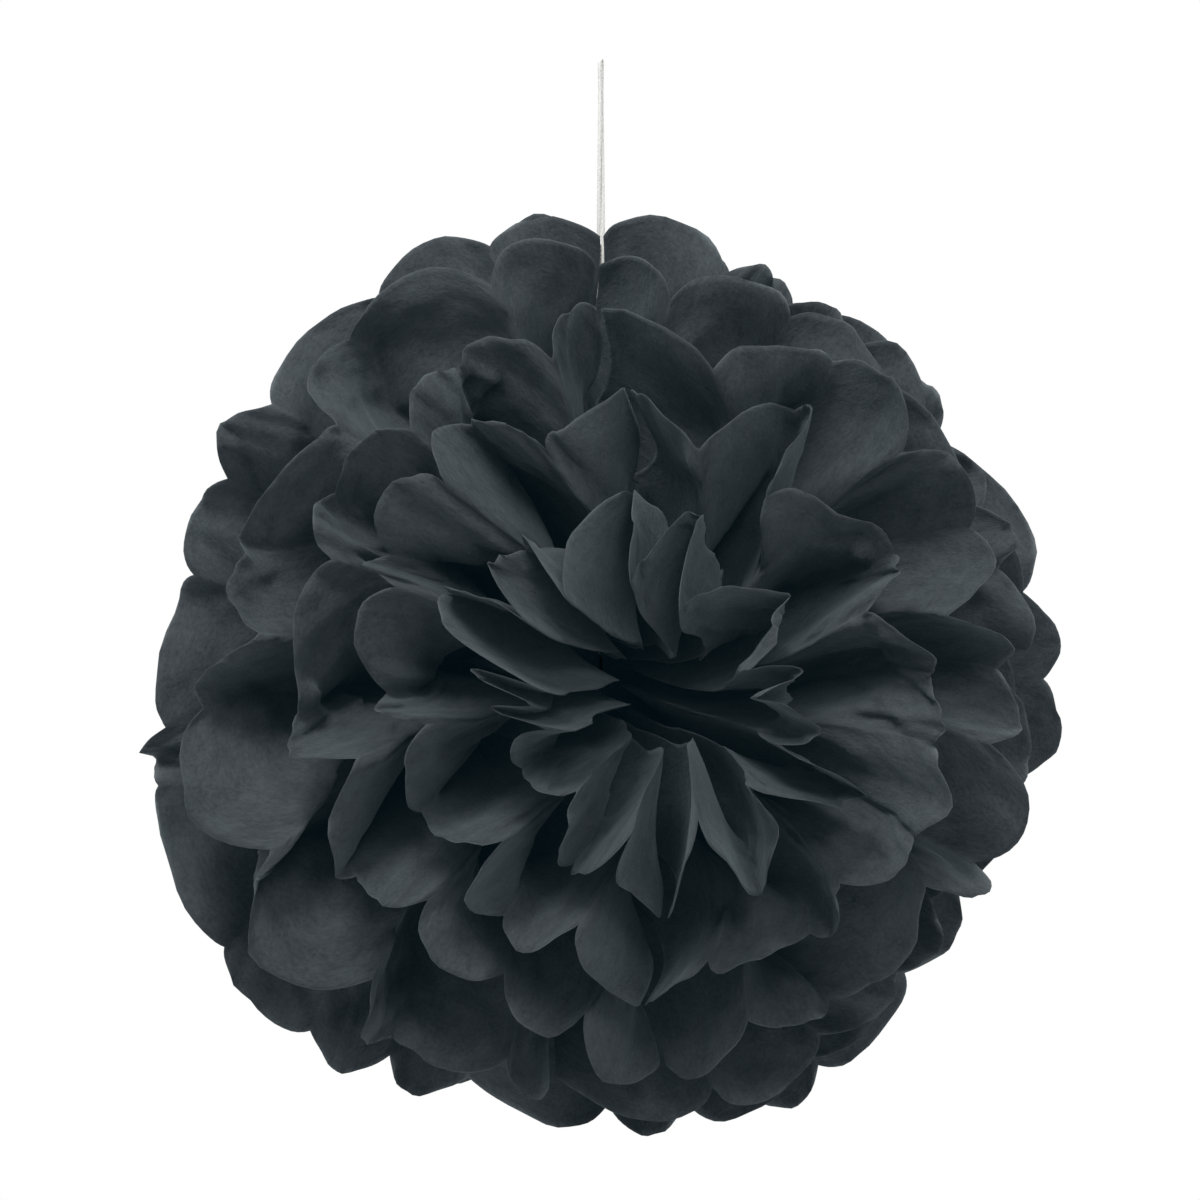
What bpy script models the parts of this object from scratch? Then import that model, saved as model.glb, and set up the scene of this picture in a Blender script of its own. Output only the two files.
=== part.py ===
"""Tissue paper pom pom on a hanging string loop.

It is modelled the way it is made. Ten sheets of tissue are stacked, folded together into
an accordion, cut round at both ends and tied across the middle. Each end is then fanned
into a half disc, and the sheets are pulled apart one by one, half of them to the front
and half to the back, until they fill a ball. The origin is the top of the string loop.
"""

import math
import random

import bmesh
import bpy
import numpy as np

# Paper, as it lies flat before it is folded
SHEET_COUNT = 10
PANEL_COUNT = 12
PANEL_WIDTH = 0.050
SHEET_LENGTH = 0.396
SCALLOP_DEPTH = 0.011
PAPER_THICKNESS = 0.0003

# Waist, where the stack is gathered and tied
CLEARANCE = 0.0003
BAND_HALF_LENGTH = 0.0026
GATHER_HALF_WIDTH = 0.004
GATHER_RIPPLE = 0.0001
TIE_WIRE_DIAMETER = 0.0012

# Fanning out
FRONT_TILT = math.radians(84)
TURN_LENGTH = 0.045
PINCH_LENGTH = 0.110
STEEPEST_PLEAT = 4.0
RIM_FLARE = math.radians(35)
FLARE_START = 0.5
FAN_MARGIN = math.radians(1.5)
SEAM_CLOSING = math.radians(2.1)
SEAM_LEAN = math.radians(7)
FULL_LEAN_TILT = math.radians(20)
LEAN_FADE = 3
STRING_ROOM = 0.005

# Petals of the front and back sheets, drawn in round their hearts
HEART_CLOSING = math.radians(3)
MIDDLE_CLOSING = math.radians(11)
HEART_MIDDLE = 0.08

# Uneven fall of the petals
SCATTER_SEED = 9005
SCATTER_START = 0.45
SCATTER_FADE = 6
TILT_SCATTER = math.radians(4)
AZIMUTH_SCATTER = math.radians(6)
CURL_SCATTER = 0.012
CURL_START = 0.65

# Sag of the whole ball, and the winding seam between its left and right halves
HANG_STRETCH = 0.018
DRIFT = 0.007
DRIFT_WAVE = 0.180
DRIFT_START = 0.090
DRIFT_DIRECTIONS = ((0.0, 0.6, 0.8), (0.6, 0.0, 0.8), (0.9, -0.4, 0.0))
DRIFT_PHASES = (1.0, 4.0, 2.5)
SAG = 0.010
SEAM_SWING = 0.012
SEAM_WAVE = 0.150
SWING_END = 0.110
SWING_FADE = 0.060
HEART_SHIFT = 0.036
HEART_DROP = 0.030
HEART_HEIGHT = 0.085

# Hanging string
TIE_DROP = 0.272
STRING_DIAMETER = 0.0018
STRAND_GAP = 0.0003
LOOP_HALF_WIDTH = 0.0019
LOOP_LENGTH = 0.016
LOOP_TWIST = math.radians(72)
TWIST_LENGTH = 0.115
KNOT_RADIUS = 0.0022

# Mesh rows, as shares of the way from the waist to the cut edge
ROW_SHARES = (0.0, 0.05, 0.20, 0.45, 0.73, 1.0)
HALVED_FROM_SHARE = 0.20
NESTED_LENGTH = 0.018
MITRE_BLUNTING = 0.06
PROFILE_STEPS = 240

SHEET_PITCH = PAPER_THICKNESS + CLEARANCE
BALL_RADIUS = SHEET_LENGTH / 2
STACK_HALF_DEPTH = SHEET_COUNT * SHEET_PITCH / 2
TIE_RADIUS = (
    math.hypot(STACK_HALF_DEPTH, GATHER_HALF_WIDTH + PAPER_THICKNESS)
    + CLEARANCE
    + TIE_WIRE_DIAMETER / 2
)


def clear_scene():
    for obj in list(bpy.data.objects):
        bpy.data.objects.remove(obj, do_unlink=True)


def make_material(name, colour, roughness):
    material = bpy.data.materials.new(name)
    material.use_nodes = True
    shader = material.node_tree.nodes["Principled BSDF"]
    shader.inputs["Base Color"].default_value = (*colour, 1.0)
    shader.inputs["Roughness"].default_value = roughness
    shader.inputs["Metallic"].default_value = 0.0
    return material


def add_object(name, data, material, collection):
    obj = bpy.data.objects.new(name, data)
    data.materials.append(material)
    collection.objects.link(obj)
    return obj


def halve_edges_across(pattern, least_reach):
    """Cuts in two each edge that runs across a panel at least this far from the waist."""
    crossing = [
        edge
        for edge in pattern.edges
        if edge.verts[0].co.x == edge.verts[1].co.x
        and abs(edge.verts[0].co.x) > least_reach - CLEARANCE
    ]
    bmesh.ops.subdivide_edges(pattern, edges=crossing, cuts=1, use_grid_fill=True)


def folding_pattern():
    """One flat sheet: x is metres along it, y counts panels from below, z tells its faces."""
    rim = SHEET_LENGTH / 2
    rows = [BAND_HALF_LENGTH + share * (rim - BAND_HALF_LENGTH) for share in ROW_SHARES]
    rows = [-x for x in reversed(rows)] + rows
    pattern = bmesh.new()
    bmesh.ops.create_grid(
        pattern, x_segments=len(rows) - 1, y_segments=PANEL_COUNT, size=0.5
    )
    for vert in pattern.verts:
        vert.co.x = rows[round((vert.co.x + 0.5) * (len(rows) - 1))]
        vert.co.y = round((vert.co.y + 0.5) * PANEL_COUNT)
    halve_edges_across(
        pattern, BAND_HALF_LENGTH + HALVED_FROM_SHARE * (rim - BAND_HALF_LENGTH)
    )
    halve_edges_across(pattern, rim)
    bmesh.ops.triangulate(pattern, faces=pattern.faces, quad_method="FIXED")
    upper = bmesh.ops.extrude_face_region(pattern, geom=pattern.faces, use_keep_orig=True)
    for vert in pattern.verts:
        vert.co.z = -1.0
    for item in upper["geom"]:
        if isinstance(item, bmesh.types.BMVert):
            item.co.z = 1.0
    bmesh.ops.triangulate(pattern, faces=pattern.faces, quad_method="FIXED")
    bmesh.ops.recalc_face_normals(pattern, faces=pattern.faces)
    return pattern


def scallop_inset(panels):
    """How far the round cut at a panel's end lies inside the ends of its arc."""
    half = PANEL_WIDTH / 2
    radius = (half**2 + SCALLOP_DEPTH**2) / (2 * SCALLOP_DEPTH)
    offset = (panels % 1.0 - 0.5) * PANEL_WIDTH
    return radius - np.sqrt(radius**2 - offset**2)


def ease(share):
    share = np.clip(share, 0.0, 1.0)
    return share * share * (3 - 2 * share)


def profile(tilt, reach):
    """Radial distance, height and direction of a sheet's mean surface along its length.

    The sheet leaves the waist flat, turns through its tilt within the turn length and
    then flares outward again to its rim. Height is measured toward the front.
    """
    steps = np.linspace(0.0, SHEET_LENGTH / 2, PROFILE_STEPS)
    flare = ease((steps / steps[-1] - FLARE_START) / (1 - FLARE_START))
    angles = tilt * np.minimum(steps / TURN_LENGTH, 1.0)
    angles -= RIM_FLARE * tilt / FRONT_TILT * flare
    stride = steps[1]
    radial = np.concatenate([[0.0], np.cumsum(np.cos(angles[:-1]) * stride)])
    height = np.concatenate([[0.0], np.cumsum(np.sin(angles[:-1]) * stride)])
    return (
        np.interp(reach, steps, radial),
        np.interp(reach, steps, height),
        np.interp(reach, steps, angles),
    )


def pleats(radial, reach):
    """Half the depth of the pleats, and the depth of one as a slope across its panel."""
    width = PANEL_WIDTH * np.minimum(reach / PINCH_LENGTH, 1.0)
    spread = radial * math.pi / PANEL_COUNT
    depth = np.sqrt(np.maximum(width**2 - spread**2, 0.0)) / 2
    depth = np.minimum(depth, STEEPEST_PLEAT * spread / 2) + GATHER_RIPPLE
    return depth, 2 * depth / (spread + 2 * GATHER_HALF_WIDTH / PANEL_COUNT)


def scatter(seed, amount, count):
    source = random.Random(seed)
    return [source.uniform(-amount, amount) for _ in range(count)]


def crease_offsets(seed, amount, flat_x, panels):
    """A seeded offset at each crease, running on evenly across the panels between them."""
    creases = range(PANEL_COUNT + 1)
    right, left = (
        np.interp(panels, creases, scatter(seed + half, amount, PANEL_COUNT + 1))
        for half in (0, 1)
    )
    return np.where(flat_x > 0, right, left)


def panel_offsets(seed, amount, flat_x, panels):
    """A seeded offset for each panel."""
    number = np.minimum(panels.astype(int), PANEL_COUNT - 1)
    right, left = (
        np.array(scatter(seed + half, amount, PANEL_COUNT))[number] for half in (0, 1)
    )
    return np.where(flat_x > 0, right, left)


def fold_sheet(order, flat_x, panels, layer=0.0):
    """Points of the folded, fanned and pulled apart sheet; order 0 is the front one.

    A layer of 1 or -1 gives the paper's two faces where the stack is still nested.
    """
    side = np.sign(flat_x)
    full_reach = SHEET_LENGTH / 2 - BAND_HALF_LENGTH - scallop_inset(panels)
    share = (np.abs(flat_x) - BAND_HALF_LENGTH) / (SHEET_LENGTH / 2 - BAND_HALF_LENGTH)
    reach = np.maximum(share, 0.0) * full_reach

    fan = 2 * panels / PANEL_COUNT - 1
    loose = ease((share - SCATTER_START) / (1 - SCATTER_START))
    scattered = loose * (1 - np.abs(fan) ** SCATTER_FADE)
    seed = 10 * order + SCATTER_SEED
    tilt_off = crease_offsets(seed, TILT_SCATTER, flat_x, panels)
    turn_off = crease_offsets(seed + 2, AZIMUTH_SCATTER, flat_x, panels)
    curl_off = panel_offsets(seed + 4, CURL_SCATTER, flat_x, panels)

    tilt = FRONT_TILT * (1 - 2 * order / (SHEET_COUNT - 1))
    radial, height, angle = profile(tilt, reach)
    wave = 1 - 2 * np.abs(panels % 2 - 1)
    depth, slope = pleats(radial, reach)
    tip = np.clip((share - CURL_START) / (1 - CURL_START), 0.0, 1.0) ** 2
    lift = wave * depth
    lift += tilt_off * scattered * reach
    if order in (0, SHEET_COUNT - 1):
        inner = (1 + wave * np.sign(tilt)) / 2
        lift += np.sign(tilt) * HEART_CLOSING * inner * loose * reach
    if order == 0:
        middle = np.exp(-((fan / HEART_MIDDLE) ** 2)) * (1 - inner)
        lift += MIDDLE_CLOSING * middle * loose * reach
    if order in (SHEET_COUNT // 2 - 1, SHEET_COUNT // 2):
        lift += np.sign(tilt) * STRING_ROOM * loose * np.abs(fan) ** LEAN_FADE
    lift += curl_off * tip * np.sin(math.pi * (panels % 1.0)) / (1 + slope**2)
    lift += layer * PAPER_THICKNESS / 2 * np.sqrt(1 + slope**2)
    radial = radial - lift * np.sin(angle)
    height = height + lift * np.cos(angle)

    azimuth = (math.pi / 2 - FAN_MARGIN + SEAM_CLOSING * loose) * fan
    azimuth += turn_off * scattered
    lean = SEAM_LEAN * min(1.0, abs(tilt) / FULL_LEAN_TILT) * math.cos(tilt)
    lean = np.where(fan < 0, lean * np.abs(fan) ** LEAN_FADE, 0.0)
    azimuth += side * (-1) ** order * lean * loose
    level = (SHEET_COUNT - 1) / 2 - order
    x = side * (BAND_HALF_LENGTH + radial * np.cos(azimuth))
    y = -level * SHEET_PITCH - height
    z = GATHER_HALF_WIDTH * fan + radial * np.sin(azimuth)
    return settle(x, y, z)


def settle(x, y, z):
    """Bends space as a hung ball sags and as its two halves lean over one another."""
    x = x * (1 - HANG_STRETCH)
    z = z * (1 + HANG_STRETCH)
    swing = SEAM_SWING * (1 - ease((z - SWING_END) / SWING_FADE))
    x = x + swing * np.sin(2 * math.pi * y / SEAM_WAVE)
    away = DRIFT * ease(np.hypot(x, y) / DRIFT_START)
    along = np.stack([x, y, z], axis=-1) @ np.transpose(DRIFT_DIRECTIONS)
    drift = away[..., None] * np.sin(2 * math.pi * along / DRIFT_WAVE + DRIFT_PHASES)
    x = x + drift[..., 0]
    y = y + drift[..., 1]
    z = z + drift[..., 2]
    front = ease(-y / BALL_RADIUS)
    x = x + HEART_SHIFT * front * np.exp(-(((z + HEART_DROP) / HEART_HEIGHT) ** 2))
    z = z - SAG * (x**2 + y**2) / BALL_RADIUS**2
    return np.stack([x, y, z - TIE_DROP], axis=-1)


def mitred_step(vert, face_of):
    """The step from the middle of the paper out to its face at one vertex."""
    layer = face_of[vert.index]
    own = [f.normal for f in vert.link_faces if all(face_of[v.index] == layer for v in f.verts)]
    normals = np.array(own)
    blunting = MITRE_BLUNTING * np.identity(3)
    step = np.linalg.solve(normals.T @ normals + blunting, normals.sum(axis=0))
    return step * PAPER_THICKNESS / 2


def add_sheet(order, pattern, material, collection):
    flat_x, panels, face_of = np.array([vert.co for vert in pattern.verts]).T
    middle = fold_sheet(order, flat_x, panels)
    nested = fold_sheet(order, flat_x, panels, face_of) - middle
    folded = pattern.copy()
    for vert, point in zip(folded.verts, middle):
        vert.co = point
    folded.normal_update()
    mitred = np.array([mitred_step(vert, face_of) for vert in folded.verts])
    apart = ease(np.abs(flat_x) / NESTED_LENGTH - 1)[:, None]
    for vert, point in zip(folded.verts, middle + nested + (mitred - nested) * apart):
        vert.co = point
    mesh = bpy.data.meshes.new(f"tissue_sheet_{order + 1:02d}")
    folded.to_mesh(mesh)
    folded.free()
    return add_object(mesh.name, mesh, material, collection)


def add_waist_tie(material, collection):
    """The wire ring that is drawn tight round the middle of the stack."""
    bpy.ops.mesh.primitive_torus_add(
        location=(0.0, 0.0, -TIE_DROP),
        rotation=(0.0, math.pi / 2, 0.0),
        major_radius=TIE_RADIUS,
        minor_radius=TIE_WIRE_DIAMETER / 2,
        major_segments=24,
        minor_segments=8,
    )
    tie = bpy.context.object
    tie.name = tie.data.name = "waist_tie"
    tie.data.materials.append(material)
    tie.data.shade_smooth()
    for old in list(tie.users_collection):
        old.objects.unlink(tie)
    collection.objects.link(tie)
    return tie


def string_route():
    """Points up one strand, round the top of the loop and down the other strand."""
    knot_top = -TIE_DROP + TIE_RADIUS + TIE_WIRE_DIAMETER / 2 + CLEARANCE + 2 * KNOT_RADIUS
    bottom = knot_top + CLEARANCE
    top = -STRING_DIAMETER / 2
    closed_half = (STRING_DIAMETER + STRAND_GAP) / 2
    round_start = top - LOOP_HALF_WIDTH
    heights = list(np.linspace(bottom, top - LOOP_LENGTH, 24))
    heights += list(np.linspace(top - LOOP_LENGTH, round_start, 8)[1:])
    strand = []
    for z in heights:
        opening = ease((z - top + LOOP_LENGTH) / (LOOP_LENGTH - LOOP_HALF_WIDTH))
        half = closed_half + (LOOP_HALF_WIDTH - closed_half) * opening
        twist = LOOP_TWIST * ease((z - round_start) / TWIST_LENGTH + 1)
        strand.append((half * math.cos(twist), half * math.sin(twist), z))
    arc = []
    for step in range(1, 8):
        angle = math.pi * step / 8
        half = -LOOP_HALF_WIDTH * math.cos(angle)
        z = round_start + LOOP_HALF_WIDTH * math.sin(angle)
        arc.append((half * math.cos(LOOP_TWIST), half * math.sin(LOOP_TWIST), z))
    left = [(-x, -y, z) for x, y, z in strand]
    return left + arc + strand[::-1]


def add_hanging_string(material, collection):
    route = string_route()
    curve = bpy.data.curves.new("hanging_string", "CURVE")
    curve.dimensions = "3D"
    curve.bevel_depth = STRING_DIAMETER / 2
    curve.bevel_resolution = 2
    curve.use_fill_caps = True
    spline = curve.splines.new("POLY")
    spline.points.add(len(route) - 1)
    for point, place in zip(spline.points, route):
        point.co = (*place, 1.0)
    return add_object("hanging_string", curve, material, collection)


def add_string_knot(material, collection):
    """The knot that holds both strands to the tie."""
    centre = -TIE_DROP + TIE_RADIUS + TIE_WIRE_DIAMETER / 2 + CLEARANCE + KNOT_RADIUS
    mesh = bpy.data.meshes.new("string_knot")
    knot = bmesh.new()
    bmesh.ops.create_uvsphere(knot, u_segments=12, v_segments=8, radius=KNOT_RADIUS)
    knot.to_mesh(mesh)
    knot.free()
    mesh.shade_smooth()
    obj = add_object("string_knot", mesh, material, collection)
    obj.location.z = centre
    return obj


def main():
    clear_scene()
    parts = bpy.data.collections.new("tissue_pom_pom")
    bpy.context.scene.collection.children.link(parts)
    tissue = make_material("black_tissue", (0.020, 0.027, 0.030), 0.9)
    wire = make_material("black_wire", (0.020, 0.021, 0.023), 0.5)
    cotton = make_material("white_cotton", (0.78, 0.76, 0.72), 0.85)
    pattern = folding_pattern()
    for order in range(SHEET_COUNT):
        add_sheet(order, pattern, tissue, parts)
    pattern.free()
    add_waist_tie(wire, parts)
    add_string_knot(cotton, parts)
    add_hanging_string(cotton, parts)


main()
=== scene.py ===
"""Looks of the tissue paper pom pom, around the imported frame.

Each sheet is folded again from its flat shape by the rules of the part's source, as a finer
mesh with the crinkles, creases and uneven rims of handled paper. The string gets its twisted
plies, every surface its material, and the studio a white background with soft lights.
"""

import math
import random

import bmesh
import bpy
import numpy as np
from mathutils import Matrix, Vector


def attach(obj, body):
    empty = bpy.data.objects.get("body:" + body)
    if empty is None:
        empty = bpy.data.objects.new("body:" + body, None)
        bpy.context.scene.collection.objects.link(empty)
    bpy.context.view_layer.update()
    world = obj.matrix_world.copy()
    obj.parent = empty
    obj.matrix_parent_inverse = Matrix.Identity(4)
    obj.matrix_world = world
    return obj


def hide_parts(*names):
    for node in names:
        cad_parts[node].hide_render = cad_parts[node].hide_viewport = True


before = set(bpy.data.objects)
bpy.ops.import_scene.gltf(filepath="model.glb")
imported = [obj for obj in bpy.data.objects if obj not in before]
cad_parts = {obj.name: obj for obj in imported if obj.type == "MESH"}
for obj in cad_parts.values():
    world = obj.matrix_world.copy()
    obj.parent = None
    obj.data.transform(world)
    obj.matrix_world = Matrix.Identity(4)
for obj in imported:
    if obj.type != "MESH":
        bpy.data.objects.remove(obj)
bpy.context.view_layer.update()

# All sizes are in metres and all turns in radians. The sizes of the paper, the waist, the
# petals, the sag and the string repeat those of the part's source.

# Paper, as it lies flat before it is folded
SHEET_COUNT = 10
PANEL_COUNT = 12
PANEL_WIDTH = 0.050
SHEET_LENGTH = 0.396
SCALLOP_DEPTH = 0.011
SHEET_PITCH = 0.0006
BALL_RADIUS = SHEET_LENGTH / 2

# Waist
BAND_HALF_LENGTH = 0.0026
GATHER_HALF_WIDTH = 0.004
GATHER_RIPPLE = 0.0001
TIE_RADIUS = 0.00643
TIE_WIRE_DIAMETER = 0.0012

# Fanning out
FRONT_TILT = math.radians(84)
TURN_LENGTH = 0.045
RIM_FLARE = math.radians(35)
FLARE_START = 0.5
FAN_MARGIN = math.radians(1.5)
SEAM_CLOSING = math.radians(2.1)
SEAM_LEAN = math.radians(7)
FULL_LEAN_TILT = math.radians(20)
LEAN_FADE = 3
STRING_ROOM = 0.005
PROFILE_STEPS = 240

# Petals round the hearts
HEART_CLOSING = math.radians(3)
MIDDLE_CLOSING = math.radians(11)
HEART_MIDDLE = 0.08

# Uneven fall of the petals
SCATTER_SEED = 9005
SCATTER_START = 0.45
SCATTER_FADE = 6
TILT_SCATTER = math.radians(4)
AZIMUTH_SCATTER = math.radians(6)
CURL_SCATTER = 0.012
CURL_START = 0.65

# Sag of the ball and its winding seam
HANG_STRETCH = 0.018
DRIFT = 0.007
DRIFT_WAVE = 0.180
DRIFT_START = 0.090
DRIFT_DIRECTIONS = ((0.0, 0.6, 0.8), (0.6, 0.0, 0.8), (0.9, -0.4, 0.0))
DRIFT_PHASES = (1.0, 4.0, 2.5)
SAG = 0.010
SEAM_SWING = 0.012
SEAM_WAVE = 0.150
SWING_END = 0.110
SWING_FADE = 0.060
HEART_SHIFT = 0.036
HEART_DROP = 0.030
HEART_HEIGHT = 0.085

# Hanging string
TIE_DROP = 0.272
STRING_DIAMETER = 0.0018
STRAND_GAP = 0.0003
LOOP_HALF_WIDTH = 0.0019
LOOP_LENGTH = 0.016
LOOP_TWIST = math.radians(72)
TWIST_LENGTH = 0.115
KNOT_RADIUS = 0.0022
CLEARANCE = 0.0003
STRAND_STEPS = 24
LOOP_STEPS = 8
ROUND_STEPS = 8

# Fine mesh of a sheet: its rows crowd at the band and the rim, its columns at the creases
ROWS_PER_HALF = 54
ROW_CROWDING = 0.25
COLUMNS_PER_PANEL = 16
COLUMN_CROWDING = 0.45
VISIBLE_THICKNESS = 0.00018

# Pleats: a little deeper than the part's near the waist, rounder and partly opened at the rim
PINCH_LENGTH = 0.090
STEEPEST_PLEAT = 4.5
PLEAT_ROUNDING = 0.02
PLEAT_SOFTNESS = 0.03
PLEAT_EASING = 0.45
EASING_SEED = 300
EASING_WAVES = (0.310, 0.173)
EASING_CONTRAST = 0.6

# Seeded waves: how far apart the two halves of a sheet read them, and how sharp they bend
HALF_SHIFT = 0.9
BEND_CRISPNESS = 0.975

# Soft crinkles: wave lengths with their shares of the height, and how they vary
CRINKLES = ((0.062, 1.0), (0.034, 0.7), (0.019, 0.45))
CRINKLE_SEED = 900
CRINKLE_HEIGHT = 0.0031
CRINKLE_WAVES = 4
CRINKLE_TURN = 1.3
CRINKLE_SPREAD = (0.75, 1.35)
CRINKLE_STRETCH = 0.7
CRINKLE_FULL_FROM = 0.3
CRINKLE_SHARE_AT_SEAM = 0.3
PATCH_WAVES = 4
PATCH_SLANT = 1.3
PATCH_CONTRAST = 0.9

# Thin creases across the crinkles
CREASE_COUNT = 16
CREASE_HEIGHT = 0.0022
CREASE_TURN = 0.9
CREASE_SPACING = (0.060, 0.150)
CREASE_SHARPNESS = 6

# Cut edge: its roll, its flutter and the waver of the cut, with the wave lengths of each;
# roll and flutter begin at a share of the reach
RIM_SEED = 700
RIM_START = 0.86
RIM_ROLL = 0.0034
ROLL_WAVES = (0.131, 0.071, 0.047)
RIM_FLUTTER = 0.0011
FLUTTER_WAVES = (0.023, 0.015)
CUT_SEED = 500
CUT_WAVER = 0.0008
CUT_WAVES = (0.061, 0.027, 0.016)

# Gathered middle: how far the sheets close round the tie below and above it, as the share of
# the band's half length, the reach at which they have closed and the reach at which they open
SQUEEZE_BELOW = (0.9, 0.0035, 0.050)
SQUEEZE_ABOVE = (0.72, 0.0012, 0.0036)
TIE_BITE = 0.0002
BUNDLE_RADIUS = TIE_RADIUS - TIE_WIRE_DIAMETER / 2 - TIE_BITE
BUNDLE_LENGTH = 0.015

# Ruffles of the petals: wave lengths with their heights, away from the tie and the string
RUFFLES = ((0.085, 0.0028), (0.050, 0.0012))
RUFFLE_SEED = 31
RUFFLE_GROWTH = 1.5
RUFFLE_DELAY = 0.4
STRING_FREE_RADIUS = 0.040
STRING_FREE_DELAY = 0.1

# String of twisted plies: a ring of lobes, swept in short steps
PLY_COUNT = 3
PLY_SIDES = 6
PLY_LAY_LENGTH = 0.0056
PLY_VALLEY = 0.78
PLY_STEP = 0.0006

# Tissue: colours, noises as (cells a metre, detail, roughness), bumps as (strength, distance)
TISSUE_DARK = (0.0183, 0.0213, 0.0240)
TISSUE_LIGHT = (0.0482, 0.0556, 0.0612)
# Lighter colour on the creases and rims: on the creases partly wear and partly a painted highlight,
# on the rims a painted highlight
TISSUE_WORN_AND_HIGHLIT = (0.086, 0.097, 0.104)
TISSUE_SHEEN = (0.75, 0.95, 1.0)
# Colour and strength of a faint painted glow over the whole paper, which lifts its shade to a bluish
# black
TISSUE_PAINTED_GLOW = (0.16, 0.70, 1.0)
PAINTED_GLOW_STRENGTH = 0.0050
GRAIN = (620.0, 3.0, 0.75)
MOTTLE = (150.0, 4.0, 0.65)
STREAKS = (260.0, 3.0, 0.6)
STREAK_SHORTENING = 0.16
CLOUDS = (22.0, 3.0, 0.55)
MOTTLE_SHARE = 0.45
CLOUD_SHARE = 0.7
BROAD_SHARE = 0.32
TONE_RANGE = (0.40, 0.60)
# Patches that let through only part of the crease wear and of the painted crease and rim highlights
WEAR_AND_HIGHLIGHT_NOISE = (45.0, 2.0, 0.5)
WEAR_AND_HIGHLIGHT_RANGE = (0.42, 0.62)
WEAR_AND_HIGHLIGHT_LIMITS = (0.05, 0.6)
# Width and strength of the lighter creases (wear and painted highlight) and of the painted rim
# highlight
CREASE_WEAR_AND_HIGHLIGHT = (0.0014, 0.5)
PAINTED_RIM_HIGHLIGHT = (0.0010, 1.0)
CRUMPLES = (34.0, 3.0, 0.5)
CRUMPLE_DISTORTION = 0.4
GRAIN_BUMP = (0.6, 0.0006)
SOFT_BUMP = (0.5, 0.0020)
SOFT_BUMP_STREAKS = 0.15
CRUMPLE_BUMP = (0.8, 0.0024)
SHEET_SPACING = 0.5

# String and wire
COTTON_DARK = (0.60, 0.59, 0.56)
COTTON_LIGHT = (0.84, 0.83, 0.80)
WIRE_DARK = (0.014, 0.016, 0.018)
WIRE_LIGHT = (0.028, 0.030, 0.033)

# Studio
FOCAL_LENGTH = 150
SENSOR_WIDTH = 36
PICTURE_WIDTH = 0.532
PICTURE_CENTRE = (-0.0004, -0.2407)
FLOOR_RADIUS = 1.6
FLOOR_HEIGHT = -1.8
FLOOR_TONE = 0.88
FLOOR_CLEAR_RADIUS = 0.35
FLOOR_FADED_RADIUS = 0.95 * FLOOR_RADIUS
FILL_COLOUR = (0.94, 0.98, 1.0)
FILL_STRENGTH = 0.50
# Area lights: name, place, diameter in metres and power in watts
LIGHTS = (
    ("key", (-0.5, -1.1, 1.4), 0.8, 31),
    ("fill", (0.5, -1.8, 0.8), 0.8, 14),
    ("back_left", (-1.4, 1.4, 0.8), 1.0, 26),
    ("back_right", (1.5, 1.0, 0.6), 1.0, 22),
)


def ease(share):
    """Runs smoothly from 0 to 1 while its share does so, and stays there."""
    share = np.clip(share, 0.0, 1.0)
    return share * share * (3 - 2 * share)


def scallop_inset(panels):
    """How far the round cut at a panel's end lies inside the ends of its arc."""
    half = PANEL_WIDTH / 2
    radius = (half**2 + SCALLOP_DEPTH**2) / (2 * SCALLOP_DEPTH)
    offset = (panels % 1.0 - 0.5) * PANEL_WIDTH
    return radius - np.sqrt(radius**2 - offset**2)


def profile(tilt, reach):
    """Radial distance, height and direction of a sheet's mean surface along its length."""
    steps = np.linspace(0.0, SHEET_LENGTH / 2, PROFILE_STEPS)
    flare = ease((steps / steps[-1] - FLARE_START) / (1 - FLARE_START))
    angles = tilt * np.minimum(steps / TURN_LENGTH, 1.0)
    angles -= RIM_FLARE * tilt / FRONT_TILT * flare
    stride = steps[1]
    radial = np.concatenate([[0.0], np.cumsum(np.cos(angles[:-1]) * stride)])
    height = np.concatenate([[0.0], np.cumsum(np.sin(angles[:-1]) * stride)])
    return (
        np.interp(reach, steps, radial),
        np.interp(reach, steps, height),
        np.interp(reach, steps, angles),
    )


def pleats(radial, reach):
    """Half the depth of the pleats, and the depth of one as a slope across its panel."""
    width = PANEL_WIDTH * np.minimum(reach / PINCH_LENGTH, 1.0)
    spread = radial * math.pi / PANEL_COUNT
    depth = np.sqrt(np.maximum(width**2 - spread**2, 0.0)) / 2
    depth = np.minimum(depth, STEEPEST_PLEAT * spread / 2) + GATHER_RIPPLE
    return depth, 2 * depth / (spread + 2 * GATHER_HALF_WIDTH / PANEL_COUNT)


def scatter(seed, amount, count):
    """A few seeded offsets of up to an amount either way."""
    source = random.Random(seed)
    return np.array([source.uniform(-amount, amount) for _ in range(count)])


def crease_offsets(seed, amount, flat_x, panels):
    """The seeded offset of each crease, joined by a smooth curve across each panel."""
    low = np.minimum(panels.astype(int), PANEL_COUNT - 1)
    over = ease(panels - low)
    right, left = (
        row[low] + (row[low + 1] - row[low]) * over
        for row in (scatter(seed + half, amount, PANEL_COUNT + 1) for half in (0, 1))
    )
    return np.where(flat_x > 0, right, left)


def panel_offsets(seed, amount, flat_x, panels):
    """The seeded offset of each panel."""
    number = np.minimum(panels.astype(int), PANEL_COUNT - 1)
    right, left = (scatter(seed + half, amount, PANEL_COUNT)[number] for half in (0, 1))
    return np.where(flat_x > 0, right, left)


def bends(phase):
    """A wave of straight runs with slightly rounded corners, the way stiff paper bends."""
    return np.arcsin(BEND_CRISPNESS * np.sin(phase)) / math.asin(BEND_CRISPNESS)


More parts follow.
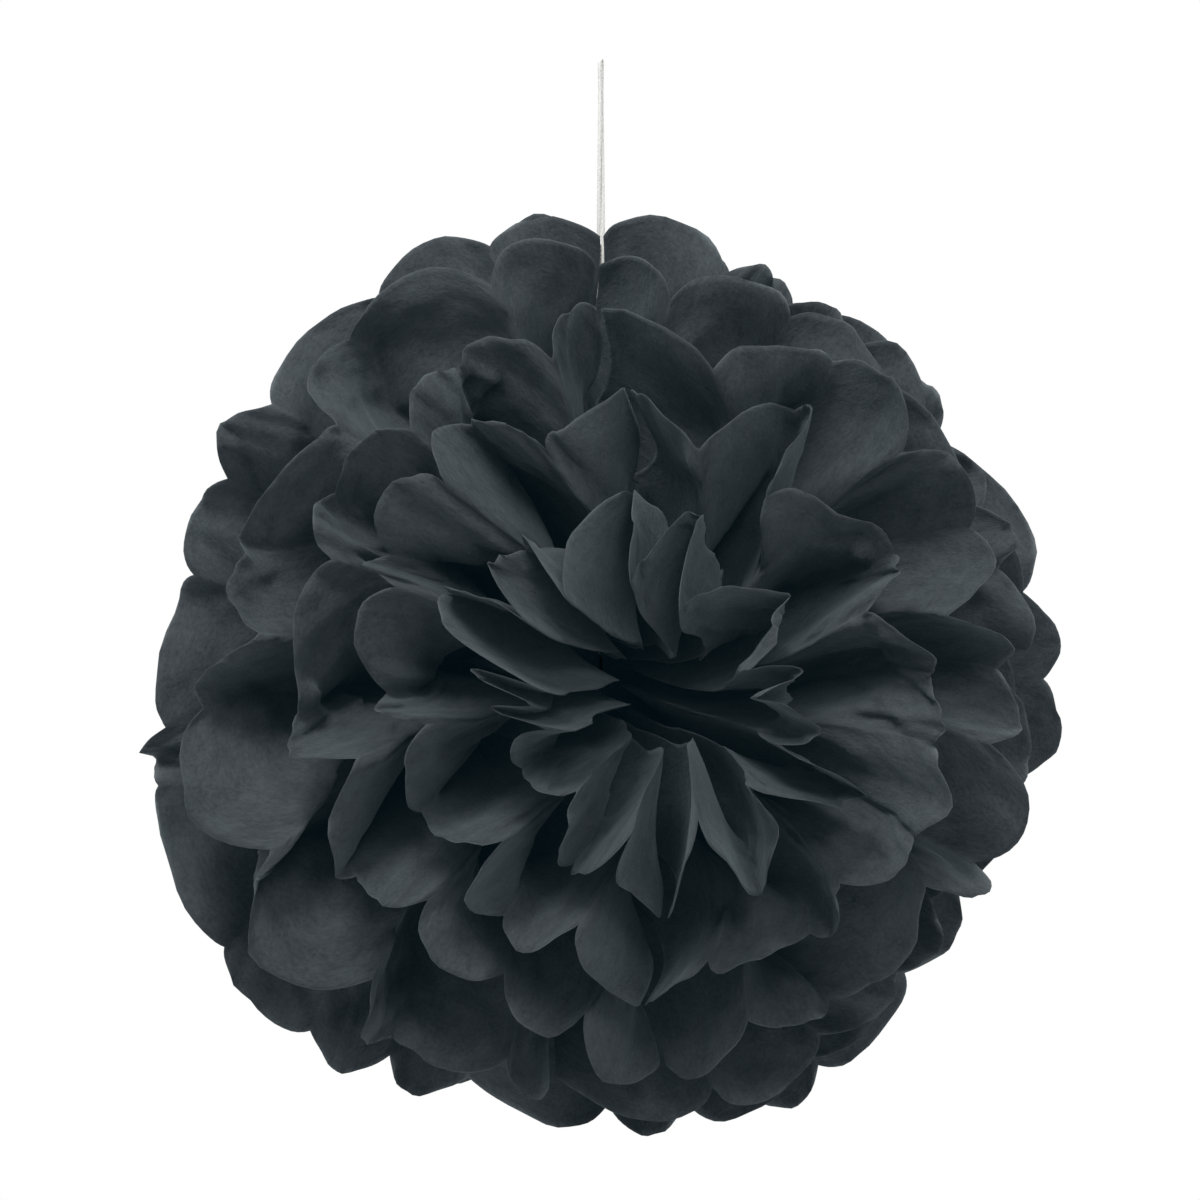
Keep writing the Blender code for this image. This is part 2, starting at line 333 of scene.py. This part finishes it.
def width_along(flat_x, panels):
    """Place along the sheet's width for seeded waves, read apart for its two halves."""
    return panels * PANEL_WIDTH + np.where(flat_x > 0, HALF_SHIFT, 0.0)


def waves_along(source, place, wave_lengths):
    """An uneven line between about -1 and 1, from a few seeded waves."""
    total = np.zeros_like(place)
    for wave_length in wave_lengths:
        total += bends(2 * math.pi * place / wave_length + source.uniform(0, 2 * math.pi))
    return total / math.sqrt(2 * len(wave_lengths))


def crinkles(order, flat_x, panels):
    """Height of the soft crinkles and thin creases of handled tissue over the flat sheet."""
    source = random.Random(CRINKLE_SEED + order)
    across = panels * PANEL_WIDTH
    total = np.zeros_like(flat_x)
    for wave_length, share in CRINKLES:
        for _ in range(CRINKLE_WAVES):
            turn = source.uniform(-CRINKLE_TURN, CRINKLE_TURN)
            phase = source.uniform(0, 2 * math.pi)
            k = 2 * math.pi / (wave_length * source.uniform(*CRINKLE_SPREAD))
            way = CRINKLE_STRETCH * math.sin(turn) * flat_x + math.cos(turn) * across
            slanted = (across - PATCH_SLANT * flat_x) / PATCH_WAVES
            patch = ease(0.5 + PATCH_CONTRAST * np.sin(k * slanted + 2 * phase))
            total += CRINKLE_HEIGHT / 2 * share * patch * bends(k * way + phase)
    for _ in range(CREASE_COUNT):
        turn = source.uniform(-CREASE_TURN, CREASE_TURN)
        phase = source.uniform(0, math.pi)
        k = math.pi / source.uniform(*CREASE_SPACING)
        way = math.sin(turn) * flat_x + math.cos(turn) * across
        ridge = 1 - np.abs(np.sin(k * way + phase))
        total += source.choice((-1, 1)) * CREASE_HEIGHT * ridge**CREASE_SHARPNESS
    return total


def rim_bends(order, flat_x, panels, share):
    """How the last stretch of paper rolls and flutters along the cut edge."""
    source = random.Random(RIM_SEED + order)
    along = width_along(flat_x, panels)
    roll = waves_along(source, along, ROLL_WAVES)
    flutter = waves_along(source, along, FLUTTER_WAVES)
    near = np.clip((share - RIM_START) / (1 - RIM_START), 0.0, 1.0) ** 2
    return (RIM_ROLL * roll + RIM_FLUTTER * flutter) * near


def cut_waver(order, flat_x, panels):
    """How far the scissors strayed from the round cut."""
    source = random.Random(CUT_SEED + order)
    along = width_along(flat_x, panels)
    return CUT_WAVER * waves_along(source, along, CUT_WAVES)


def pleat_easing(order, flat_x, panels):
    """Share by which groups of pleats have opened out, between 0 and 1."""
    source = random.Random(EASING_SEED + order)
    along = width_along(flat_x, panels)
    return ease(0.5 + EASING_CONTRAST * waves_along(source, along, EASING_WAVES))


def gathered(order, fan, reach):
    """Half width of the gathered stack, half length of its band and the sheet's level in it."""
    level = ((SHEET_COUNT - 1) / 2 - order) * SHEET_PITCH
    squeeze, start, end = (
        np.where(fan < 0, below, above) for below, above in zip(SQUEEZE_BELOW, SQUEEZE_ABOVE)
    )
    squeeze = squeeze * ease(reach / start) * ease(2 - reach / end) * np.abs(fan) ** LEAN_FADE
    bundle = math.sqrt(BUNDLE_RADIUS**2 - level**2) - GATHER_HALF_WIDTH
    gather = GATHER_HALF_WIDTH + bundle * (1 - ease(reach / BUNDLE_LENGTH))
    return gather, BAND_HALF_LENGTH * (1 - squeeze), level


def fold_sheet(order, flat_x, panels):
    """Points of the folded, fanned and pulled apart sheet; order 0 is the front one."""
    side = np.sign(flat_x)
    full_reach = SHEET_LENGTH / 2 - BAND_HALF_LENGTH - scallop_inset(panels)
    full_reach = full_reach + cut_waver(order, flat_x, panels)
    share = (np.abs(flat_x) - BAND_HALF_LENGTH) / (SHEET_LENGTH / 2 - BAND_HALF_LENGTH)
    reach = np.maximum(share, 0.0) * full_reach

    fan = 2 * panels / PANEL_COUNT - 1
    loose = ease((share - SCATTER_START) / (1 - SCATTER_START))
    off_seam = 1 - np.abs(fan) ** SCATTER_FADE
    scattered = loose * off_seam
    seed = 10 * order + SCATTER_SEED
    tilt_off = crease_offsets(seed, TILT_SCATTER, flat_x, panels)
    turn_off = crease_offsets(seed + 2, AZIMUTH_SCATTER, flat_x, panels)
    curl_off = panel_offsets(seed + 4, CURL_SCATTER, flat_x, panels)

    # Pleats over the sheet's mean surface, and the uneven fall of its petals
    tilt = FRONT_TILT * (1 - 2 * order / (SHEET_COUNT - 1))
    radial, height, angle = profile(tilt, reach)
    sharp = np.sin(math.pi / 2 * (1 - PLEAT_ROUNDING - PLEAT_SOFTNESS * loose))
    wave = np.arcsin(-sharp * np.cos(math.pi * panels)) / np.arcsin(sharp)
    depth, slope = pleats(radial, reach)
    depth = depth * (1 - PLEAT_EASING * scattered * pleat_easing(order, flat_x, panels))
    tip = np.clip((share - CURL_START) / (1 - CURL_START), 0.0, 1.0) ** 2
    lift = wave * depth
    lift += tilt_off * scattered * reach
    inner = (1 + wave * np.sign(tilt)) / 2
    if order in (0, SHEET_COUNT - 1):
        lift += np.sign(tilt) * HEART_CLOSING * inner * loose * reach
    if order == 0:
        middle = np.exp(-((fan / HEART_MIDDLE) ** 2)) * (1 - inner)
        lift += MIDDLE_CLOSING * middle * loose * reach
    if order in (SHEET_COUNT // 2 - 1, SHEET_COUNT // 2):
        lift += np.sign(tilt) * STRING_ROOM * loose * np.abs(fan) ** LEAN_FADE
    lift += curl_off * tip * np.sin(math.pi * (panels % 1.0)) / (1 + slope**2)

    # Fine bends of handled paper, calmer along the seam between the two halves
    lift += rim_bends(order, flat_x, panels, share) * off_seam
    free = CRINKLE_SHARE_AT_SEAM + (1 - CRINKLE_SHARE_AT_SEAM) * off_seam
    lift += crinkles(order, flat_x, panels) * ease(share / CRINKLE_FULL_FROM) * free
    radial = radial - lift * np.sin(angle)
    height = height + lift * np.cos(angle)

    # Fan of the sheet round the tie, with the halves leaning over one another below
    azimuth = (math.pi / 2 - FAN_MARGIN + SEAM_CLOSING * loose) * fan
    azimuth += turn_off * scattered
    lean = SEAM_LEAN * min(1.0, abs(tilt) / FULL_LEAN_TILT) * math.cos(tilt)
    lean = np.where(fan < 0, lean * np.abs(fan) ** LEAN_FADE, 0.0)
    azimuth += side * (-1) ** order * lean * loose
    gather, band, level = gathered(order, fan, reach)
    x = side * (band + radial * np.cos(azimuth))
    y = -level - height
    z = gather * fan + radial * np.sin(azimuth)
    return settle(ruffle(np.stack([x, y, z], axis=-1)))


def ruffle(place):
    """Soft bends of the petals that are too small for the part's source."""
    source = random.Random(RUFFLE_SEED)
    from_tie = np.linalg.norm(place, axis=-1) / BALL_RADIUS
    from_string = np.hypot(place[..., 0], place[..., 1]) / STRING_FREE_RADIUS
    free = ease(from_tie * RUFFLE_GROWTH - RUFFLE_DELAY)
    free = free * ease(from_string - STRING_FREE_DELAY)
    moved = np.zeros_like(place)
    for wave_length, amount in RUFFLES:
        for axis in range(3):
            way = np.array([source.gauss(0, 1) for _ in range(3)])
            way *= 2 * math.pi / wave_length / np.linalg.norm(way)
            moved[..., axis] += amount * np.sin(place @ way + source.uniform(0, 2 * math.pi))
    return place + free[..., None] * moved


def settle(place):
    """Bends space as a hung ball sags and as its two halves lean over one another."""
    x, y, z = np.moveaxis(place, -1, 0)
    x = x * (1 - HANG_STRETCH)
    z = z * (1 + HANG_STRETCH)
    swing = SEAM_SWING * (1 - ease((z - SWING_END) / SWING_FADE))
    x = x + swing * np.sin(2 * math.pi * y / SEAM_WAVE)
    away = DRIFT * ease(np.hypot(x, y) / DRIFT_START)
    along = np.stack([x, y, z], axis=-1) @ np.transpose(DRIFT_DIRECTIONS)
    drift = away[..., None] * np.sin(2 * math.pi * along / DRIFT_WAVE + DRIFT_PHASES)
    x = x + drift[..., 0]
    y = y + drift[..., 1]
    z = z + drift[..., 2]
    front = ease(-y / BALL_RADIUS)
    x = x + HEART_SHIFT * front * np.exp(-(((z + HEART_DROP) / HEART_HEIGHT) ** 2))
    z = z - SAG * (x**2 + y**2) / BALL_RADIUS**2
    return np.stack([x, y, z - TIE_DROP], axis=-1)


def grid_mesh(name, points, attributes):
    """A mesh of quads over a grid of points, with one float attribute per name."""
    rows, columns = points.shape[:2]
    mesh = bpy.data.meshes.new(name)
    index = np.arange(rows * columns).reshape(rows, columns)
    quads = np.stack(
        [index[:-1, :-1], index[:-1, 1:], index[1:, 1:], index[1:, :-1]], axis=-1
    ).reshape(-1, 4)
    mesh.vertices.add(rows * columns)
    mesh.vertices.foreach_set("co", points.reshape(-1))
    mesh.loops.add(quads.size)
    mesh.loops.foreach_set("vertex_index", quads.reshape(-1))
    mesh.polygons.add(len(quads))
    mesh.polygons.foreach_set("loop_start", np.arange(0, quads.size, 4))
    for key, values in attributes.items():
        layer = mesh.attributes.new(key, "FLOAT", "POINT")
        layer.data.foreach_set("value", values.reshape(-1).astype(np.float32))
    mesh.update(calc_edges=True)
    mesh.validate()
    mesh.polygons.foreach_set("use_smooth", [True] * len(mesh.polygons))
    return mesh


def add_piece(name, mesh, material):
    """An object of the scene with a mesh and its material."""
    obj = bpy.data.objects.new(name, mesh)
    bpy.context.scene.collection.objects.link(obj)
    obj.data.materials.append(material)
    return obj


def crowded(places, amount):
    """Moves evenly spread places closer together round each whole number."""
    return places - amount * np.sin(2 * math.pi * places) / (2 * math.pi)


def make_sheet(order, material):
    """One sheet of paper, which stands in for its node of the frame."""
    share = crowded(np.linspace(0, 1, ROWS_PER_HALF), ROW_CROWDING)
    half = BAND_HALF_LENGTH + (BALL_RADIUS - BAND_HALF_LENGTH) * share
    columns = np.linspace(0, PANEL_COUNT, PANEL_COUNT * COLUMNS_PER_PANEL + 1)
    columns = crowded(columns, COLUMN_CROWDING)
    flat_x, panels = np.meshgrid(np.concatenate([-half[::-1], half]), columns, indexing="ij")
    number = order + 1
    name = f"paper_sheet_{number:02d}"
    mesh = grid_mesh(
        name,
        fold_sheet(order, flat_x, panels),
        {
            "crease": np.abs((panels + 0.5) % 1.0 - 0.5) * PANEL_WIDTH,
            "rim": BALL_RADIUS - np.abs(flat_x),
            "flat_x": flat_x + SHEET_SPACING * order,
            "flat_y": panels * PANEL_WIDTH,
        },
    )
    sheet = add_piece(name, mesh, material)
    solid = sheet.modifiers.new("paper", "SOLIDIFY")
    solid.thickness = VISIBLE_THICKNESS
    solid.offset = 0
    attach(sheet, "root")
    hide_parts(f"tissue_sheet_{number:02d}")


def node(tree, kind, **inputs):
    """A shader node with values on its inputs; an underscore stands for a space in a name."""
    made = tree.nodes.new(kind)
    for key, value in inputs.items():
        made.inputs[key.replace("_", " ")].default_value = value
    return made


def new_material(name, roughness):
    """A material with its node tree and its shader."""
    material = bpy.data.materials.new(name)
    material.use_nodes = True
    shader = material.node_tree.nodes["Principled BSDF"]
    shader.inputs["Roughness"].default_value = roughness
    return material, material.node_tree, shader


def ramp(tree, factor, low, high):
    """Blends two colours between two places of a factor; each of low and high is (place, colour)."""
    made = tree.nodes.new("ShaderNodeValToRGB")
    for element, (position, colour) in zip(made.color_ramp.elements, (low, high)):
        element.position = position
        element.color = (*colour, 1)
    tree.links.new(factor, made.inputs["Fac"])
    return made.outputs["Color"]


def attribute(tree, name):
    """A value that the sheet's mesh holds at each vertex."""
    made = tree.nodes.new("ShaderNodeAttribute")
    made.attribute_name = name
    return made.outputs["Fac"]


def mapped(tree, value, source, target):
    """Moves a value evenly from one range to another, and keeps it there."""
    made = tree.nodes.new("ShaderNodeMapRange")
    made.inputs["From Min"].default_value, made.inputs["From Max"].default_value = source
    made.inputs["To Min"].default_value, made.inputs["To Max"].default_value = target
    tree.links.new(value, made.inputs["Value"])
    return made.outputs["Result"]


def fading(tree, value, width, full):
    """Falls from a full value to nothing as a distance grows to a width."""
    return mapped(tree, value, (0.0, width), (full, 0.0))


def maths(tree, operation, first, second):
    """The result of one operation on two values."""
    made = tree.nodes.new("ShaderNodeMath")
    made.operation = operation
    tree.links.new(first, made.inputs[0])
    tree.links.new(second, made.inputs[1])
    return made.outputs["Value"]


def bump(tree, height, strength, distance, below=None):
    """The surface's direction with a bump, on top of the direction that another bump gives."""
    made = node(tree, "ShaderNodeBump", Strength=strength, Distance=distance)
    tree.links.new(height, made.inputs["Height"])
    if below is not None:
        tree.links.new(below, made.inputs["Normal"])
    return made.outputs["Normal"]


def tissue_material():
    """Matt black tissue with a fibrous grain, a crumpled skin, creases lighter by wear and a painted
    highlight, rims lighter by a painted highlight, and a faint painted glow.
    """
    material, tree, shader = new_material("black_tissue_paper", 0.85)
    link = tree.links.new
    shader.inputs["Specular IOR Level"].default_value = 0.25
    shader.inputs["Sheen Weight"].default_value = 0.10
    shader.inputs["Sheen Roughness"].default_value = 0.55
    shader.inputs["Sheen Tint"].default_value = (*TISSUE_SHEEN, 1)
    # Faint painted glow, which lifts the darkest shade of the paper to a bluish black
    shader.inputs["Emission Color"].default_value = (*TISSUE_PAINTED_GLOW, 1)
    shader.inputs["Emission Strength"].default_value = PAINTED_GLOW_STRENGTH
    place = tree.nodes.new("ShaderNodeCombineXYZ")
    link(attribute(tree, "flat_x"), place.inputs["X"])
    link(attribute(tree, "flat_y"), place.inputs["Y"])
    streaked = tree.nodes.new("ShaderNodeVectorMath")
    streaked.operation = "MULTIPLY"
    streaked.inputs[1].default_value = (STREAK_SHORTENING, 1.0, 1.0)
    link(place.outputs["Vector"], streaked.inputs[0])

    def noise(scale, detail, roughness, vector=place):
        made = node(tree, "ShaderNodeTexNoise", Scale=scale, Detail=detail, Roughness=roughness)
        link(vector.outputs["Vector"], made.inputs["Vector"])
        return made.outputs["Fac"]

    def mix(factor, first, second):
        made = node(tree, "ShaderNodeMix", Factor=factor)
        link(first, made.inputs["A"])
        link(second, made.inputs["B"])
        return made.outputs["Result"]

    grain = noise(*GRAIN)
    mottle = noise(*MOTTLE)
    streaks = noise(*STREAKS, streaked)
    clouds = noise(*CLOUDS)
    near_tone = mix(MOTTLE_SHARE, grain, mottle)
    far_tone = mix(CLOUD_SHARE, streaks, clouds)
    tone = mix(BROAD_SHARE, near_tone, far_tone)
    darkest, lightest = TONE_RANGE
    colour = ramp(tree, tone, (darkest, TISSUE_DARK), (lightest, TISSUE_LIGHT))

    # Creases lightened partly by wear and partly by a painted highlight, and rims lightened by a
    # painted highlight, in patches
    on_crease = fading(tree, attribute(tree, "crease"), *CREASE_WEAR_AND_HIGHLIGHT)
    on_rim = fading(tree, attribute(tree, "rim"), *PAINTED_RIM_HIGHLIGHT)
    edges = maths(tree, "MAXIMUM", on_crease, on_rim)
    patchy = mapped(tree, noise(*WEAR_AND_HIGHLIGHT_NOISE), WEAR_AND_HIGHLIGHT_RANGE, WEAR_AND_HIGHLIGHT_LIMITS)
    wear_and_highlight = maths(tree, "MULTIPLY", edges, patchy)
    lighter = tree.nodes.new("ShaderNodeMix")
    lighter.data_type = "RGBA"
    lighter.inputs["B"].default_value = (*TISSUE_WORN_AND_HIGHLIT, 1)
    link(wear_and_highlight, lighter.inputs["Factor"])
    link(colour, lighter.inputs["A"])
    link(lighter.outputs["Result"], shader.inputs["Base Color"])

    crumples = noise(*CRUMPLES)
    crumples.node.noise_type = "RIDGED_MULTIFRACTAL"
    crumples.node.inputs["Distortion"].default_value = CRUMPLE_DISTORTION
    fine = bump(tree, grain, *GRAIN_BUMP)
    soft = bump(tree, mix(SOFT_BUMP_STREAKS, mottle, streaks), *SOFT_BUMP, below=fine)
    crumpled = bump(tree, crumples, *CRUMPLE_BUMP, below=soft)
    link(crumpled, shader.inputs["Normal"])
    return material


def noisy_material(name, roughness, scale, low, high, bump_distance):
    """Two close colours and a fine bump from one noise, for string and wire."""
    material, tree, shader = new_material(name, roughness)
    place = tree.nodes.new("ShaderNodeTexCoord")
    noise = node(tree, "ShaderNodeTexNoise", Scale=scale, Detail=3.0)
    tree.links.new(place.outputs["Object"], noise.inputs["Vector"])
    colour = ramp(tree, noise.outputs["Fac"], (0.3, low), (0.7, high))
    tree.links.new(colour, shader.inputs["Base Color"])
    rough = bump(tree, noise.outputs["Fac"], 0.6, bump_distance)
    tree.links.new(rough, shader.inputs["Normal"])
    return material


def string_route():
    """Points up one strand, round the top of the loop and down the other strand."""
    knot_top = -TIE_DROP + TIE_RADIUS + TIE_WIRE_DIAMETER / 2 + CLEARANCE + 2 * KNOT_RADIUS
    bottom = knot_top + CLEARANCE
    top = -STRING_DIAMETER / 2
    closed_half = (STRING_DIAMETER + STRAND_GAP) / 2
    round_start = top - LOOP_HALF_WIDTH
    heights = list(np.linspace(bottom, top - LOOP_LENGTH, STRAND_STEPS))
    heights += list(np.linspace(top - LOOP_LENGTH, round_start, LOOP_STEPS)[1:])
    strand = []
    for z in heights:
        opening = ease((z - top + LOOP_LENGTH) / (LOOP_LENGTH - LOOP_HALF_WIDTH))
        half = closed_half + (LOOP_HALF_WIDTH - closed_half) * opening
        twist = LOOP_TWIST * ease((z - round_start) / TWIST_LENGTH + 1)
        strand.append((half * math.cos(twist), half * math.sin(twist), z))
    arc = []
    for step in range(1, ROUND_STEPS):
        angle = math.pi * step / ROUND_STEPS
        half = -LOOP_HALF_WIDTH * math.cos(angle)
        z = round_start + LOOP_HALF_WIDTH * math.sin(angle)
        arc.append((half * math.cos(LOOP_TWIST), half * math.sin(LOOP_TWIST), z))
    left = [(-x, -y, z) for x, y, z in strand]
    return left + arc + strand[::-1]


def resample(route, step):
    """Evenly spaced points along a route, with the distance of each from its start."""
    points = np.array(route)
    along = np.concatenate([[0.0], np.cumsum(np.linalg.norm(np.diff(points, axis=0), axis=1))])
    places = np.linspace(0.0, along[-1], int(along[-1] / step) + 1)
    return np.stack([np.interp(places, along, points[:, i]) for i in range(3)], axis=1), places


def ply_tube(name, route, diameter, material):
    """A cord with twisted plies along a route: a lobed ring swept and turned along it."""
    line, along = resample(route, PLY_STEP)
    sides = PLY_SIDES * PLY_COUNT
    tangents = np.gradient(line, axis=0)
    tangents /= np.linalg.norm(tangents, axis=1)[:, None]
    normal = np.cross(tangents[0], (0.3, 1.0, 0.2))
    turn = np.linspace(0, 2 * math.pi, sides, endpoint=False)
    tube = bmesh.new()
    rings = []
    for centre, tangent, place in zip(line, tangents, along):
        normal = normal - tangent * normal.dot(tangent)
        normal /= np.linalg.norm(normal)
        other = np.cross(tangent, normal)
        lobes = np.abs(np.cos(PLY_COUNT / 2 * (turn - 2 * math.pi * place / PLY_LAY_LENGTH)))
        radius = diameter / 2 * (PLY_VALLEY + (1 - PLY_VALLEY) * lobes)
        around = np.cos(turn)[:, None] * normal + np.sin(turn)[:, None] * other
        rings.append([tube.verts.new(point) for point in centre + radius[:, None] * around])
    for low, high in zip(rings[:-1], rings[1:]):
        for i in range(sides):
            j = (i + 1) % sides
            tube.faces.new((low[i], low[j], high[j], high[i]))
    tube.faces.new(rings[0][::-1])
    tube.faces.new(rings[-1])
    bmesh.ops.recalc_face_normals(tube, faces=tube.faces)
    mesh = bpy.data.meshes.new(name)
    tube.to_mesh(mesh)
    tube.free()
    mesh.polygons.foreach_set("use_smooth", [True] * len(mesh.polygons))
    return add_piece(name, mesh, material), [tuple(p) for p in line]


def add_string(material):
    """The doubled string from the knot to the loop, which stands in for its node."""
    string, line = ply_tube("cotton_string", string_route(), STRING_DIAMETER, material)
    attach(string, "root")
    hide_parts("hanging_string")


def add_camera():
    """A long lens straight in front of the ball."""
    camera = bpy.data.objects.new("photo_camera", bpy.data.cameras.new("photo_camera"))
    camera.data.lens = FOCAL_LENGTH
    camera.data.sensor_width = SENSOR_WIDTH
    centre_x, centre_z = PICTURE_CENTRE
    distance = PICTURE_WIDTH * FOCAL_LENGTH / SENSOR_WIDTH
    camera.location = (centre_x, -distance, centre_z)
    camera.rotation_euler = (math.pi / 2, 0, 0)
    camera.data.clip_end = 50
    bpy.context.scene.collection.objects.link(camera)
    bpy.context.scene.camera = camera


def add_area_light(name, place, size, power):
    """A round soft light that is aimed at the middle of the ball."""
    light = bpy.data.objects.new(name, bpy.data.lights.new(name, "AREA"))
    light.data.shape = "DISK"
    light.data.size = size
    light.data.energy = power
    light.location = place
    aim = Vector((0, 0, -TIE_DROP)) - light.location
    light.rotation_euler = aim.to_track_quat("-Z", "Y").to_euler()
    bpy.context.scene.collection.objects.link(light)


def add_world():
    """Plain white behind the object and a cool, softer fill on it."""
    world = bpy.data.worlds.new("studio")
    world.use_nodes = True
    tree = world.node_tree
    shown = tree.nodes["Background"]
    shown.inputs["Color"].default_value = (1, 1, 1, 1)
    shown.inputs["Strength"].default_value = 1.0
    fill = node(tree, "ShaderNodeBackground", Color=(*FILL_COLOUR, 1), Strength=FILL_STRENGTH)
    path = tree.nodes.new("ShaderNodeLightPath")
    seen = maths(tree, "MAXIMUM", path.outputs["Is Camera Ray"], path.outputs["Is Glossy Ray"])
    both = tree.nodes.new("ShaderNodeMixShader")
    tree.links.new(seen, both.inputs["Fac"])
    tree.links.new(fill.outputs["Background"], both.inputs[1])
    tree.links.new(shown.outputs["Background"], both.inputs[2])
    tree.links.new(both.outputs["Shader"], tree.nodes["World Output"].inputs["Surface"])
    bpy.context.scene.world = world


def add_floor():
    """A pale disc below the ball, which fades into the white background round its edge."""
    mesh = bpy.data.meshes.new("floor")
    disc = bmesh.new()
    bmesh.ops.create_circle(disc, cap_ends=True, segments=96, radius=FLOOR_RADIUS)
    disc.to_mesh(mesh)
    disc.free()
    pale, tree, shader = new_material("pale_floor", 0.9)
    shader.inputs["Base Color"].default_value = (FLOOR_TONE, FLOOR_TONE, FLOOR_TONE, 1)
    place = tree.nodes.new("ShaderNodeTexCoord")
    distance = tree.nodes.new("ShaderNodeVectorMath")
    distance.operation = "LENGTH"
    tree.links.new(place.outputs["Object"], distance.inputs[0])
    fade = node(tree, "ShaderNodeMapRange", From_Min=FLOOR_CLEAR_RADIUS, From_Max=FLOOR_FADED_RADIUS)
    fade.interpolation_type = "SMOOTHSTEP"
    tree.links.new(distance.outputs["Value"], fade.inputs["Value"])
    path = tree.nodes.new("ShaderNodeLightPath")
    share = maths(tree, "MULTIPLY", fade.outputs["Result"], path.outputs["Is Camera Ray"])
    white = node(tree, "ShaderNodeEmission", Color=(1, 1, 1, 1), Strength=1.0)
    both = tree.nodes.new("ShaderNodeMixShader")
    tree.links.new(share, both.inputs["Fac"])
    tree.links.new(shader.outputs["BSDF"], both.inputs[1])
    tree.links.new(white.outputs["Emission"], both.inputs[2])
    tree.links.new(both.outputs["Shader"], tree.nodes["Material Output"].inputs["Surface"])
    floor = add_piece("floor", mesh, pale)
    floor.location.z = FLOOR_HEIGHT


add_camera()
cotton = noisy_material(
    "white_cotton_string",
    roughness=0.9,
    scale=2200.0,
    low=COTTON_DARK,
    high=COTTON_LIGHT,
    bump_distance=0.0003,
)
wire = noisy_material(
    "black_wire",
    roughness=0.5,
    scale=1800.0,
    low=WIRE_DARK,
    high=WIRE_LIGHT,
    bump_distance=0.0001,
)
tissue = tissue_material()
add_string(cotton)
for order in range(SHEET_COUNT):
    make_sheet(order, tissue)
for name, material in (("waist_tie", wire), ("string_knot", cotton)):
    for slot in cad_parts[name].material_slots:
        slot.material = material
add_world()
add_floor()
for name, place, size, power in LIGHTS:
    add_area_light(name, place, size, power)
bpy.context.scene.view_settings.view_transform = "Standard"
